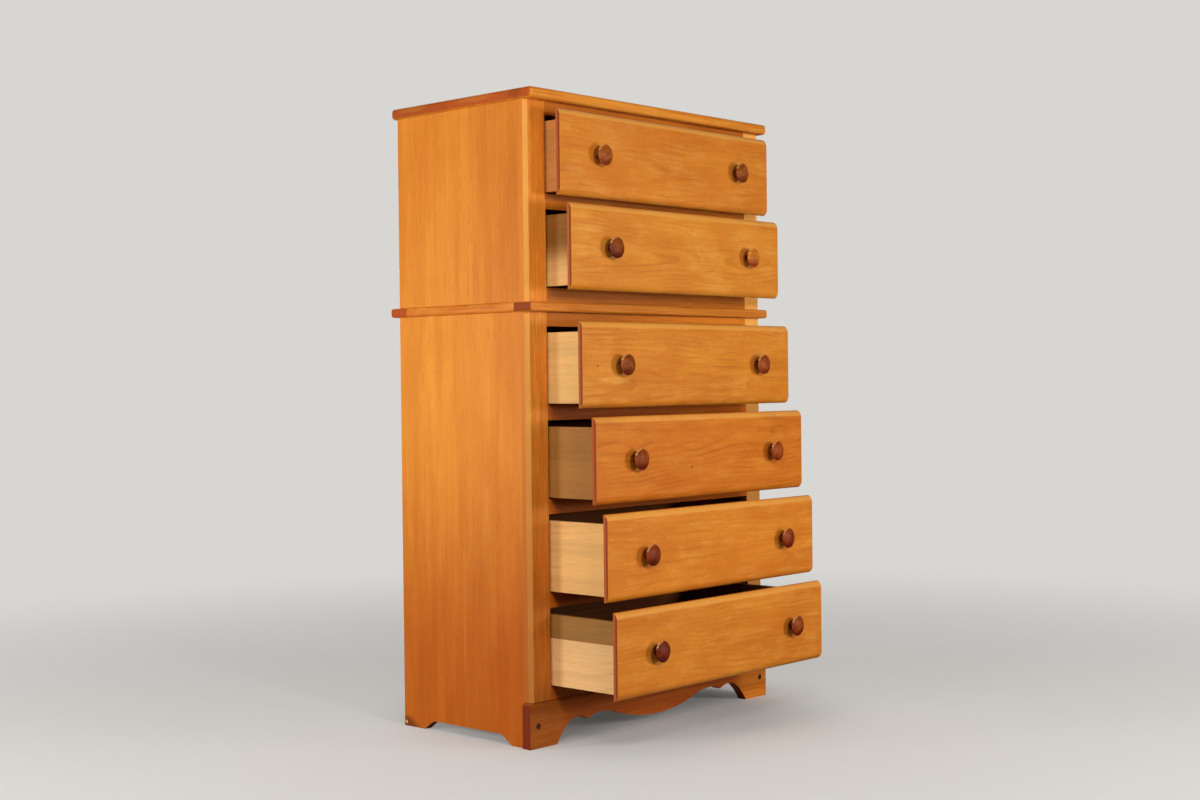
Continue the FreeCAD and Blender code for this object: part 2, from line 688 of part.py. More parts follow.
def drawer(number_down, opening_low, opened):
    """One drawer, standing open by the given distance."""
    name = "drawer_" + str(number_down)
    lip_y = -opened
    box_low = opening_low + box_lift
    box_front = lip_y + size["tongue_thick"]

    front = drawer_front(name + "_front")
    place(front, 0, lip_y, opening_low - size["front_top_lip"])
    node(front, name + "_front")

    side = drawer_side(name + "_left_side")
    place(side, -size["tongue_half"], box_front, box_low)
    node(side, name + "_left_side")
    node(opposite(side), name + "_right_side")

    back = box_board(name + "_back", "box_back_half", "box_side_thick", "box_back_height")
    place(back, 0, box_front + size["dado_front"], box_low + size["groove_top"])
    node(back, name + "_back")

    bottom = box_board(name + "_bottom", "groove_half", "bottom_length", "bottom_thick")
    place(bottom, 0, box_front - size["bottom_groove"], box_low + size["bottom_rise"])
    node(bottom, name + "_bottom")

    left_knob = knob(name + "_knob")
    place(left_knob, -size["knob_place"], lip_y - size["lip_thick"],
          opening_low + size["opening_height"] / 2)
    pair(left_knob, name + "_knobs")


# ---------------------------------------------------------------- build

cleats = case("lower", LOWER_DRAWERS, size["apron_height"], "base_rail_height",
              "lower_top_rail_height", lower_top, lower_side, "lower_back_height")
cleats += case("upper", UPPER_DRAWERS, upper_bottom, "upper_base_rail_height",
               "upper_top_rail_height", upper_top, upper_side, "upper_side_height")
group(cleats, "cleats")
waist_rail("waist_front_rail", True)
waist_rail("waist_rear_rail", False)
pair(waist_side_rail(), "waist_side_rails")
top_board()
base_apron()
pair(apron_plug(), "apron_plugs")
pair(glue_block(), "glue_blocks")

openings_low = [upper_base + i * level for i in reversed(range(UPPER_DRAWERS))]
openings_low += [base_height + i * level for i in reversed(range(LOWER_DRAWERS))]
for i, (low, opened) in enumerate(zip(openings_low, drawers_open)):
    drawer(i + 1, low, opened)

doc.recompute()
for item in doc.Objects:
    if "Invalid" in item.State or "Error" in item.State:
        raise RuntimeError(item.Name + ": " + str(item.State))
for piece in nodes:
    if piece.Shape.isNull() or not piece.Shape.isValid() or not piece.Shape.Solids:
        raise RuntimeError(piece.Label + " has no valid solid")

os.makedirs("parts", exist_ok=True)
for piece in nodes:
    piece.Shape.exportStep("parts/" + piece.Label + ".step")
print(len(nodes), "nodes,", sum(len(piece.Shape.Solids) for piece in nodes), "solids")
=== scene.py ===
"""Finish and studio for a chest on chest in honey maple with walnut knobs.

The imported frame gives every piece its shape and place. This file gives the pieces their woods,
eases their edges, and sets up a plain studio. It is laid out as a Blender add-on: the panel in the
3D view's sidebar lists one operator for each group of like pieces.
"""

import math

import bpy
from mathutils import Matrix, Vector


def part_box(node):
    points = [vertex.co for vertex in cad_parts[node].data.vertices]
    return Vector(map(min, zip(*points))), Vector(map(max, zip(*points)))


bl_info = {
    "name": "Chest on Chest Finish",
    "version": (1, 0, 0),
    "blender": (4, 5, 0),
    "location": "3D View > Sidebar > Chest",
    "description": "Honey maple, drawer box woods, walnut knobs and a plain studio for a chest on chest",
    "category": "Object",
}

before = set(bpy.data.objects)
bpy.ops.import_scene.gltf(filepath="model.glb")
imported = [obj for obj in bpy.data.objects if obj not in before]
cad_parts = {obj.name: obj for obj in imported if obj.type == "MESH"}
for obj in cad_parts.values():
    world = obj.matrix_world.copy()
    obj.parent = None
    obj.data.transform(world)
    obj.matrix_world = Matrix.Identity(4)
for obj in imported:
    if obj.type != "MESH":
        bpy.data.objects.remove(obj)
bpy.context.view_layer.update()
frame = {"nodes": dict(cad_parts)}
NODES = frame["nodes"]

SIDEWAYS = (1.0, 0.0, 0.0)
LENGTHWAYS = (0.0, 1.0, 0.0)
UPRIGHT = (0.0, 0.0, 1.0)
TO_THE_LEFT = (-1.0, 0.0, 0.0)
TO_THE_FRONT = (0.0, -1.0, 0.0)
DIAGONAL = 0.707  # each part of a direction that points half way between two sides

DRAWERS = range(1, 7)
CORNERS = ("upper_left", "upper_right", "lower_left", "lower_right")
BACK_OF_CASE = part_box("lower_left_side")[1].y
FRAME_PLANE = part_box("lower_left_stile")[0].y
APRON_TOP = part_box("lower_left_stile")[0].z

# How a piece's wood differs from the general colour, as shares of red, green and blue
LOWER_SIDE_TONE = (1.07, 1.12, 1.1)
TOP_END_TONE = (1.17, 1.16, 0.85)
WAIST_RAIL_TONE = (0.9, 0.84, 0.87)
WAIST_SIDE_TONE = (0.92, 0.82, 0.76)
WAIST_END_TONES = {"waist_front_rail": (0.72, 0.72, 0.72), "waist_rear_rail": (1.3, 1.3, 1.3)}
# Painted shade: the apron is darkened for the shade under the open drawers
APRON_PAINTED_SHADE = (0.7, 0.45, 0.35)
APRON_END_TONE = (0.56, 0.56, 0.56)
SECOND_HEART_TONE = (0.85, 0.74, 0.6)
BOX_DEEP_TONE = (0.8, 0.8, 0.8)
BOTTOM_DEEP_TONE = (0.6, 0.6, 0.6)

# What a piece's colour turns to along its length, as shares of red, green and blue
# Painted shade: the stiles darken downwards, for the shade of the open drawers and the light falling off
# towards the floor
STILE_PAINTED_SHADE = (0.7, 0.6, 0.64)
# Painted shade: the upper rail below the second drawer, in that drawer's shade
UPPER_RAIL_PAINTED_SHADE = (0.86, 0.87, 0.84)
# Painted light: the lower rails grow paler towards the right, where more light reaches them between the open
# drawers
LOWER_RAIL_PAINTED_LIGHT = (1.4, 1.5, 1.5)
APRON_LEFT = (0.65, 0.74, 0.8)
# Painted light: the apron's right foot, out of that shade, is made paler again
APRON_RIGHT_PAINTED_LIGHT = (1.47, 2.0, 2.2)

# How each front's wood differs from the general colour, as shares of red, green and blue
FRONT_TONES = {
    1: (0.93, 0.94, 1.4),
    2: (1.01, 1.11, 1.65),
    3: (0.94, 0.97, 1.25),
    4: (0.89, 0.79, 0.84),
    5: (0.98, 0.96, 1.17),
    6: (1.0, 1.0, 1.25),
}
# The growth lines of each front: how clear they are, how far below its middle and behind its face their
# heart lies, and their spacing
FRONT_LINES = {
    1: (0.22, 0.03, 0.06, 0.009),
    2: (0.3, -0.01, 0.045, 0.008),
    3: (0.35, 0.06, 0.045, 0.009),
    4: (0.42, -0.045, 0.04, 0.008),
    5: (0.2, 0.04, 0.06, 0.009),
    6: (0.25, 0.08, 0.05, 0.009),
}
END_STAIN_DEPTH = 0.0055  # how far behind a front's face its dark end grain reaches

# Centre and width of each pin knot in a front
PIN_KNOTS = {
    3: (((-0.2945, -0.204, 0.764), 0.003),),
    4: (((-0.1111, -0.238, 0.5665), 0.0025), ((-0.047, -0.238, 0.5533), 0.0035)),
}
# Centre and reach of the clear streak in the third front
CLEAR_STREAK = ((-0.245, -0.204, 0.735), (0.055, 0.02, 0.009))

# The same shares for each left knob, and for its right neighbour as shares of the left one
KNOB_TONES = {
    1: ((0.89, 0.93, 0.6), (0.78, 0.72, 0.76)),
    2: ((0.6, 0.51, 0.38), (3.1, 5.0, 3.6)),
    3: ((0.81, 0.8, 0.45), (1.14, 1.1, 1.2)),
    4: ((0.75, 0.61, 0.3), (1.46, 1.62, 1.4)),
    5: ((0.65, 0.38, 0.15), (1.26, 1.3, 1.4)),
    6: ((0.46, 0.25, 0.18), (1.72, 2.25, 1.7)),
}
KNOB_PLACE = 0.225  # from the middle of a front to the middle of a knob
RIM_RADIUS = 0.0215
RIM_FORWARD = 0.0182  # from the foot of a knob's neck to its rim
# Painted highlight: size of each pale spot on a knob's upper left rim, and the turns round the rim where they
# sit
RIM_HIGHLIGHT_SIZE = (0.0055, 0.0026, 0.0055)
RIM_HIGHLIGHT_TURNS = tuple(math.radians(turn) for turn in (104, 125, 146))

# Azimuth and elevation in degrees, and width in metres. Azimuth 0 is straight before the chest, 90 its right
LAMPS = {
    "side_lamp": (-116, 3, 0.7),
    "side_fill": (-90, 3, 0.8),
    "corner_lamp": (-47, 30, 0.8),
    "front_lamp": (20, 3, 0.75),
    "front_fill": (-19, 14, 0.45),
}
LAMP_AIM = Vector((0.0, 0.0, 0.65))
LAMP_DISTANCE = 3.0
REAR_LIGHT = (0.6, 0.8, 0.0)  # where the soft light from behind and from the right comes from
REAR_SPREAD = (0.35, 0.95)  # cosines of the angles to it at which that light begins and is full
FLOOR_REACH = 60.0
CAMERA_REACH = 200.0  # past the floor's far corners
# Distances from the middle of the chest between which the floor's own shading gives way to the plain
# backdrop, and the backdrop's share at the first of them
NEAR_FLOOR = (0.25, 0.6, 0.15)
FAR_FLOOR = (0.8, 3.2, 0.55)


def tint(red, green, blue):
    """A display colour, 0 to 255, as the linear colour that the shaders take."""
    shares = (red / 255, green / 255, blue / 255)
    return tuple(s / 12.92 if s <= 0.04045 else ((s + 0.055) / 1.055) ** 2.4 for s in shares)


def colour_setting(name, text, value):
    return bpy.props.FloatVectorProperty(
        name=name, description=text, subtype="COLOR", size=3, min=0, max=1, default=value
    )


def number_setting(name, text, value, kind, **more):
    return bpy.props.FloatProperty(name=name, description=text, default=value, subtype=kind, **more)


def length_setting(name, text, value, top=1.0):
    return number_setting(name, text, value, "DISTANCE", unit="LENGTH", min=0, max=top, precision=5)


def angle_setting(name, text, degrees):
    return number_setting(name, text, math.radians(degrees), "ANGLE", unit="ROTATION")


def share_setting(name, text, value):
    return number_setting(name, text, value, "FACTOR", min=0, max=1)


def power_setting(name, text, value):
    return number_setting(name, text, value, "POWER", unit="POWER", min=0)


# ---- settings


class ChestCaseSettings(bpy.types.PropertyGroup):
    """Colours and sizes of the two cases, their tops and their bases."""

    pale: colour_setting("Pale maple", "Honey maple between the growth lines", tint(236, 151, 52))
    deep: colour_setting("Deep maple", "Honey maple where the stain took more", tint(208, 116, 28))
    line: colour_setting("Growth line", "Late wood of each growth ring", tint(170, 80, 16))
    end: colour_setting("End grain", "Cut ends, where the stain went in deepest", tint(172, 74, 22))
    frame: colour_setting("Frame maple", "Honey maple of the stiles", tint(238, 144, 48))
    # Painted light: the chamfers are paler, as faces turned to both the side and the front light
    chamfer: colour_setting("Chamfer", "Cleaner wood along the corners of the stiles", tint(231, 160, 74))
    # The rails' browner maple is partly painted shade, for the shade between the open drawers
    rail: colour_setting("Rail maple", "Browner maple of the rails between the drawers", tint(170, 90, 18))
    # Partly the wood's redder colour near the floor, partly painted shade for the light falling off towards
    # the floor
    foot: colour_setting("Foot of the sides", "Deeper red brown near the floor", tint(212, 176, 140))
    near: colour_setting("Near the stiles", "Redder wood of the sides near the front", tint(246, 236, 218))
    # Painted light: the right stiles' faces are paler, for light that reaches them between the drawers
    right: colour_setting("Right stile", "Yellower face of the right stiles", tint(250, 182, 88))
    flank: colour_setting("Flank of the stiles", "Outer face, next to the side", tint(214, 122, 36))
    # Painted shade: this colour darkens the lower rails, which lie in the shade of the open drawers
    shade: colour_setting("Shaded rails", "Browner wood of the rails lower down", tint(238, 208, 108))
    # This colour also paints the shade along the stiles' joint with the apron
    stain: colour_setting("Stain", "Dark stain at the rear foot", tint(84, 34, 12))
    rubbed: colour_setting("Rubbed edge", "Edges and patches where the finish is thin", tint(250, 186, 84))
    board_width: length_setting("Board width", "Width of the boards glued up into a side", 0.098)
    ease: length_setting("Eased edge", "How far a sharp edge is rubbed down", 0.0006, 0.003)


class ChestFrontSettings(bpy.types.PropertyGroup):
    """Colours of the lipped drawer fronts."""

    pale: colour_setting("Pale maple", "Honey maple of the fronts", tint(234, 148, 40))
    deep: colour_setting("Deep maple", "Darker figure of the fronts", tint(200, 106, 20))
    line: colour_setting("Growth line", "Late wood of each growth ring", tint(158, 74, 14))
    end: colour_setting("End grain", "End grain at both ends of a front", tint(180, 94, 32))
    end_dark: colour_setting("Dark end grain", "Front part of each end, stained deepest", tint(134, 50, 12))
    rubbed: colour_setting("Rubbed edge", "Lip edges where the finish has worn thin", tint(250, 190, 84))
    # Painted highlight: the rounded top edge of each front is paler, as where light from above falls on it
    band: colour_setting("Top edge", "Yellower wood along the rounded top edge", tint(244, 176, 84))
    knot: colour_setting("Pin knot", "Small dark knots", tint(96, 40, 12))
    ease: length_setting("Eased edge", "How far a lip edge is rubbed down", 0.0008, 0.003)


class ChestBoxSettings(bpy.types.PropertyGroup):
    """Colours of the drawer boxes."""

    cream: colour_setting("Cream", "Pale drawer sides", tint(238, 184, 110))
    pinkish: colour_setting("Pinkish cream", "Palest drawer sides", tint(244, 190, 126))
    blush: colour_setting("Blush", "Slightly redder drawer sides", tint(236, 177, 105))
    tan: colour_setting("Tan", "Pinkish drawer sides", tint(226, 152, 80))
    olive: colour_setting("Olive", "Darkest drawer sides", tint(171, 113, 49))
    heart: colour_setting("Heartwood", "Dark heartwood at the edge of some boards", tint(168, 150, 114))
    line: colour_setting("Growth line", "Late wood of the drawer sides", tint(178, 120, 66))
    end: colour_setting("End grain", "Ends of the dovetails", tint(178, 124, 66))
    bottom: colour_setting("Back and bottom", "Dark wood at the back and under the drawer", tint(148, 82, 32))
    ease: length_setting("Eased edge", "How far a box edge is rubbed down", 0.0006, 0.003)


class ChestInsideSettings(bpy.types.PropertyGroup):
    """Colours of the parts inside the case and behind it."""

    runner: colour_setting("Runners", "Plain wood inside the case", tint(176, 124, 72))
    runner_deep: colour_setting("Runners, deep", "Darker streaks of the plain wood", tint(148, 98, 54))
    panel: colour_setting("Back panel", "Thin panel behind each case", tint(168, 120, 74))
    panel_deep: colour_setting("Back panel, deep", "Darker figure of the back panel", tint(138, 92, 52))


class ChestKnobSettings(bpy.types.PropertyGroup):
    """Colours of the turned knobs and the apron's plugs."""

    pale: colour_setting("Pale walnut", "Lighter streaks of the knobs", tint(182, 94, 26))
    deep: colour_setting("Dark walnut", "Darker streaks of the knobs", tint(126, 50, 10))
    # Painted shade: each knob darkens towards its underside, as where light from above falls off
    lower_painted_shade: colour_setting("Grip", "Darker wood below, where fingers close round the knob", tint(200, 150, 120))
    # Painted highlight: the pale rim at each knob's upper left, where the lamps catch it; also the colour of
    # the knobs' rubbed edges
    rim: colour_setting("Rubbed rim", "Edge of the knob, worn by hands", tint(226, 168, 100))
    pore: colour_setting("Pores", "Open pores of the walnut", tint(70, 28, 10))
    plug: colour_setting("Plug", "End grain plugs in the apron", tint(66, 30, 14))


class ChestStudioSettings(bpy.types.PropertyGroup):
    """Camera, lamps and floor."""

    camera_place: bpy.props.FloatVectorProperty(
        name="Camera place",
        description="Where the camera stands",
        subtype="TRANSLATION",
        unit="LENGTH",
        size=3,
        default=(-2.7676, -2.4837, 0.7359),
    )
    camera_heading: angle_setting("Camera heading", "Turn from the depth axis towards the right side", 47.38)
    camera_tilt: angle_setting("Camera tilt", "Turn above the horizon", -0.67)
    camera_roll: angle_setting("Camera roll", "Turn about the line of sight", -0.65)
    camera_lens: number_setting(
        "Camera lens",
        "Focal length on a 36 mm wide sensor",
        50.89,
        "DISTANCE_CAMERA",
        unit="CAMERA",
        min=10,
        max=200,
    )
    side_lamp: power_setting("Side lamp", "Lamp on the left, a little behind the face of the chest", 31)
    side_fill: power_setting("Side fill", "Lamp straight on the left", 28)
    corner_lamp: power_setting("Corner lamp", "High lamp before the left corner", 12)
    front_lamp: power_setting("Front lamp", "Low lamp before the drawers, to their right", 36)
    front_fill: power_setting("Front fill", "Lamp before the drawers, to their left", 31)
    fill: share_setting("Fill light", "Level of the light from all round", 0.06)
    rear_fill: share_setting("Rear fill", "Level of the soft light from behind and from the right", 1.0)
    bounce: share_setting("Floor bounce", "Share of light that the floor throws back on the chest", 0.25)
    floor: colour_setting("Floor", "Pale floor", tint(226, 223, 218))
    backdrop: colour_setting("Backdrop", "Pale backdrop beyond the floor", tint(216, 214, 210))


# ---- shader trees


class ShaderTree:
    """Adds nodes to one shader tree. A value is a number, a colour or another node's output."""

    def __init__(self, tree):
        self.tree = tree

    def add(self, kind, values=None, **settings):
        made = self.tree.nodes.new("ShaderNode" + kind)
        count = len(self.tree.nodes)
        made.location = (200 * (count % 10), -260 * (count // 10))
        for name, value in settings.items():
            setattr(made, name, value)
        for name, value in (values or {}).items():
            self.feed(made.inputs[name], value)
        return made

    def feed(self, socket, value):
        if isinstance(value, bpy.types.NodeSocket):
            self.tree.links.new(value, socket)
        elif socket.type == "RGBA":
            socket.default_value = (*value[:3], 1.0)
        else:
            socket.default_value = value

    def maths(self, operation, *values, clamp=False):
        made = self.add("Math", operation=operation, use_clamp=clamp)
        for socket, value in zip(made.inputs, values):
            self.feed(socket, value)
        return made.outputs["Value"]

    def vector(self, operation, *values):
        made = self.add("VectorMath", operation=operation)
        for socket, value in zip(made.inputs, values):
            self.feed(socket, value)
        return made.outputs["Value" if operation in ("DOT_PRODUCT", "LENGTH") else "Vector"]

    def scaled(self, vector, factor):
        made = self.add("VectorMath", {"Scale": factor}, operation="SCALE")
        self.feed(made.inputs[0], vector)
        return made.outputs["Vector"]

    def blend(self, factor, first, second, how="MIX"):
        made = self.add("Mix", data_type="RGBA", blend_type=how)
        self.feed(made.inputs["Factor"], factor)
        self.feed(made.inputs[6], first)
        self.feed(made.inputs[7], second)
        return made.outputs[2]

    def ramp(self, value, low, high, start=0.0, end=1.0):
        """A smooth step from start, at low and under, to end, at high and over."""
        made = self.add(
            "MapRange",
            {"Value": value, "From Min": low, "From Max": high, "To Min": start, "To Max": end},
            interpolation_type="SMOOTHSTEP",
        )
        return made.outputs["Result"]

    def cover(self, under, over, mask, share, how="MIX"):
        """One colour laid over another by a share of a mask."""
        return self.blend(self.maths("MULTIPLY", mask, share), under, over, how)

    def sway(self, middle, value, amount, clamp=False):
        """The middle, raised or lowered with the value's distance from one half."""
        return self.maths("MULTIPLY_ADD", self.maths("SUBTRACT", value, 0.5), amount, middle, clamp=clamp)

    def facing(self, direction):
        """1 where the surface faces the direction, -1 where it faces away."""
        return self.vector("DOT_PRODUCT", self.add("TexCoord").outputs["Normal"], direction)

    def noise(self, place, scale=1.0, detail=2.0, roughness=0.5):
        values = {"Vector": place, "Scale": scale, "Detail": detail, "Roughness": roughness}
        return self.add("TexNoise", values)

    def group(self, name, **values):
        made = self.add("Group")
        made.node_tree = bpy.data.node_groups[name]
        for label, value in values.items():
            self.feed(made.inputs[label.replace("_", " ").title()], value)
        return made.outputs


POSITION = ("Position", "Vector", (0, 0, 0))
GRAIN = ("Grain", "Vector", SIDEWAYS)
SEED = ("Seed", "Float", 0.0)
MASK = ("Mask", "Float")


def shader_group(name, inputs, outputs):
    """A new shader node group, as (its tree, the values it is given, the values it puts out)."""
    tree = bpy.data.node_groups.new(name, "ShaderNodeTree")
    for label, kind, value in inputs:
        socket = tree.interface.new_socket(label, in_out="INPUT", socket_type="NodeSocket" + kind)
        socket.default_value = value
    for label, kind in outputs:
        tree.interface.new_socket(label, in_out="OUTPUT", socket_type="NodeSocket" + kind)
    start = tree.nodes.new("NodeGroupInput")
    end = tree.nodes.new("NodeGroupOutput")
    return ShaderTree(tree), start.outputs, end.inputs


def build_board_grain():
    """Growth rings round a heart line, bands, streaks, pores and fibres, and a tone for each board."""
    tree, given, out = shader_group(
        "Board Grain",
        [
            POSITION,
            GRAIN,
            ("Across", "Vector", UPRIGHT),
            ("Board Width", "Float", 10.0),
            ("Board Start", "Float", -5.0),
            ("Heart", "Vector", (0, 0, 0)),
            ("Slope", "Float", 0.03),
            ("Spacing", "Float", 0.008),
            ("Waviness", "Float", 0.02),
            ("Run", "Float", 0.4),
            SEED,
        ],
        [
            ("Line", "Float"),
            ("Streak", "Float"),
            ("Band", "Float"),
            ("Pore", "Float"),
            ("Fibre", "Float"),
            ("Board", "Float"),
            ("Height", "Float"),
        ],
    )
    place = tree.vector("DOT_PRODUCT", given["Position"], given["Across"])
    count = tree.maths("DIVIDE", tree.maths("SUBTRACT", place, given["Board Start"]), given["Board Width"])
    board = tree.maths("MULTIPLY_ADD", given["Seed"], 7.31, tree.maths("FLOOR", count))
    chance = tree.add("TexWhiteNoise", {"W": board}, noise_dimensions="1D").outputs
    moved = tree.vector("SUBTRACT", given["Position"], given["Heart"])
    length = tree.vector("DOT_PRODUCT", moved, given["Grain"])
    along = tree.scaled(given["Grain"], tree.maths("DIVIDE", length, given["Run"]))
    spread = tree.vector("SUBTRACT", moved, tree.scaled(given["Grain"], length))
    # Each board is cut from another place in the tree, a little beside its neighbour's heart
    jump = tree.scaled(tree.vector("SUBTRACT", chance["Color"], (0.5, 0.5, 0.5)), 0.05)
    shift = tree.vector("ADD", tree.scaled((1.7, 2.3, 3.1), given["Seed"]), tree.scaled(jump, 60.0))

    def stretched(source, wide, long):
        """The source scaled by wide across the grain and by long for each run along it, then shifted."""
        whole = tree.vector("ADD", tree.scaled(source, wide), tree.scaled(along, long))
        return tree.vector("ADD", whole, shift)

    slow = tree.noise(stretched(spread, wide=7.0, long=0.6)).outputs["Color"]
    wave = tree.vector("SUBTRACT", slow, (0.5, 0.5, 0.5))
    waved = tree.vector("ADD", spread, tree.scaled(wave, given["Waviness"]))
    eased = tree.vector("ADD", spread, tree.scaled(wave, tree.maths("MULTIPLY", given["Waviness"], 0.25)))
    radius = tree.vector("LENGTH", tree.vector("ADD", waved, jump))
    reach = tree.maths("MULTIPLY_ADD", length, given["Slope"], radius)
    ring = tree.maths("FRACT", tree.maths("DIVIDE", reach, given["Spacing"]))
    late = tree.maths("MULTIPLY", tree.ramp(ring, 0.5, 0.93), tree.ramp(ring, 0.93, 1.0, start=1.0, end=0.0))
    clear = tree.noise(stretched(spread, wide=16.0, long=1.0)).outputs["Fac"]
    line = tree.maths("MULTIPLY", late, tree.ramp(clear, 0.4, 0.62, start=0.05))
    coarse = tree.noise(stretched(eased, wide=110.0, long=1.0), detail=3.0, roughness=0.6).outputs["Fac"]
    fine = tree.noise(stretched(eased, wide=480.0, long=1.4)).outputs["Fac"]
    mixed = tree.maths("MULTIPLY_ADD", fine, 0.45, tree.maths("MULTIPLY", coarse, 0.55))
    band = tree.noise(stretched(eased, wide=26.0, long=0.45)).outputs["Fac"]
    pore = tree.noise(stretched(eased, wide=420.0, long=6.0), detail=1.0).outputs["Fac"]
    fibre = tree.noise(stretched(spread, wide=1300.0, long=10.0), detail=1.0).outputs["Fac"]
    tree.feed(out["Line"], line)
    tree.feed(out["Streak"], tree.ramp(mixed, 0.36, 0.64))
    tree.feed(out["Band"], tree.ramp(band, 0.32, 0.68))
    tree.feed(out["Pore"], tree.ramp(pore, 0.62, 0.74))
    tree.feed(out["Fibre"], fibre)
    tree.feed(out["Board"], chance["Value"])
    tree.feed(out["Height"], tree.maths("MULTIPLY_ADD", line, 0.4, tree.maths("SUBTRACT", fibre, pore)))


def build_end_grain():
    """1 where a surface is cut across the grain, 0 where it runs along it."""
    tree, given, out = shader_group("End Grain", [GRAIN], [MASK])
    facing = tree.maths("ABSOLUTE", tree.facing(given["Grain"]))
    tree.feed(out["Mask"], tree.ramp(facing, 0.55, 0.9))


def build_facing():
    """1 where a surface faces a direction."""
    tree, given, out = shader_group("Facing", [("Direction", "Vector", UPRIGHT)], [MASK])
    tree.feed(out["Mask"], tree.ramp(tree.facing(given["Direction"]), 0.86, 0.98))


def build_rubbed_edge():
    """1 along edges, where hands and cloths have worn the finish, broken up by a noise."""
    tree, given, out = shader_group("Rubbed Edge", [POSITION, ("Radius", "Float", 0.002)], [MASK])
    rounded = tree.add("Bevel", {"Radius": given["Radius"]}, samples=4).outputs["Normal"]
    turned = tree.vector("DOT_PRODUCT", rounded, tree.add("NewGeometry").outputs["Normal"])
    edge = tree.ramp(turned, 0.72, 0.995, start=1.0, end=0.0)
    patches = tree.noise(given["Position"], scale=60.0, detail=3.0).outputs["Fac"]
    tree.feed(out["Mask"], tree.maths("MULTIPLY", edge, tree.ramp(patches, 0.3, 0.65, start=0.35)))


def build_corner_shade():
    """1 deep in corners and joints, where painted shade darkens the wood."""
    tree, given, out = shader_group("Corner Shade", [("Reach", "Float", 0.012)], [MASK])
    open_share = tree.add("AmbientOcclusion", {"Distance": given["Reach"]}, samples=6).outputs["AO"]
    tree.feed(out["Mask"], tree.ramp(open_share, 0.15, 0.75, start=1.0, end=0.0))


def build_stain_blotch():
    """Soft clouds, where the stain went in unevenly."""
    tree, given, out = shader_group("Stain Blotch", [POSITION, GRAIN, ("Size", "Float", 0.05), SEED], [MASK])
    length = tree.vector("DOT_PRODUCT", given["Position"], given["Grain"])
    pull = tree.scaled(given["Grain"], tree.maths("MULTIPLY", length, 0.6))
    shrunk = tree.vector("SUBTRACT", given["Position"], pull)
    place = tree.vector("ADD", shrunk, tree.scaled((0.31, 0.17, 0.23), given["Seed"]))
    scale = tree.maths("DIVIDE", 1.0, given["Size"])
    cloud = tree.noise(place, scale, detail=2.5, roughness=0.55).outputs["Fac"]
    tree.feed(out["Mask"], tree.ramp(cloud, 0.36, 0.68))


def build_spot():
    """1 inside a small spot with a ragged rim, such as a knot or a stain."""
    tree, given, out = shader_group(
        "Spot",
        [POSITION, ("Centre", "Vector", (0, 0, 0)), ("Size", "Vector", (0.01, 0.01, 0.01))],
        [MASK],
    )
    offset = tree.vector("DIVIDE", tree.vector("SUBTRACT", given["Position"], given["Centre"]), given["Size"])
    reach = tree.vector("LENGTH", offset)
    ragged = tree.noise(offset, scale=1.6, detail=3.0).outputs["Fac"]
    reach = tree.sway(reach, ragged, 0.9)
    tree.feed(out["Mask"], tree.ramp(reach, 0.45, 1.15, start=1.0, end=0.0))


def build_fade():
    """0 before the start and 1 past the end, measured along a direction."""
    tree, given, out = shader_group(
        "Fade",
        [POSITION, ("Direction", "Vector", UPRIGHT), ("Start", "Float", 0.0), ("End", "Float", 1.0)],
        [MASK],
    )
    place = tree.vector("DOT_PRODUCT", given["Position"], given["Direction"])
    tree.feed(out["Mask"], tree.ramp(place, given["Start"], given["End"]))


def build_shared_groups():
    """Builds each shared effect once."""
    for name, build in {
        "Board Grain": build_board_grain,
        "End Grain": build_end_grain,
        "Facing": build_facing,
        "Rubbed Edge": build_rubbed_edge,
        "Corner Shade": build_corner_shade,
        "Stain Blotch": build_stain_blotch,
        "Spot": build_spot,
        "Fade": build_fade,
    }.items():
        if name not in bpy.data.node_groups:
            build()


FIBRE_TONE = 0.25  # how far the finest fibres lighten and darken the wood
CORNER_PAINTED_SHADE = 0.35  # how far the painted shade darkens the wood deep in a corner


def new_finish(name):
    """An empty material with a Principled shader, as (material, tree, shader)."""
    build_shared_groups()
    made = bpy.data.materials.new(name)
    made.use_nodes = True
    made.node_tree.nodes.clear()
    tree = ShaderTree(made.node_tree)
    shader = tree.add("BsdfPrincipled", {"Specular IOR Level": 0.15})
    output = tree.add("OutputMaterial")
    tree.feed(output.inputs["Surface"], shader.outputs["BSDF"])
    return made, tree, shader


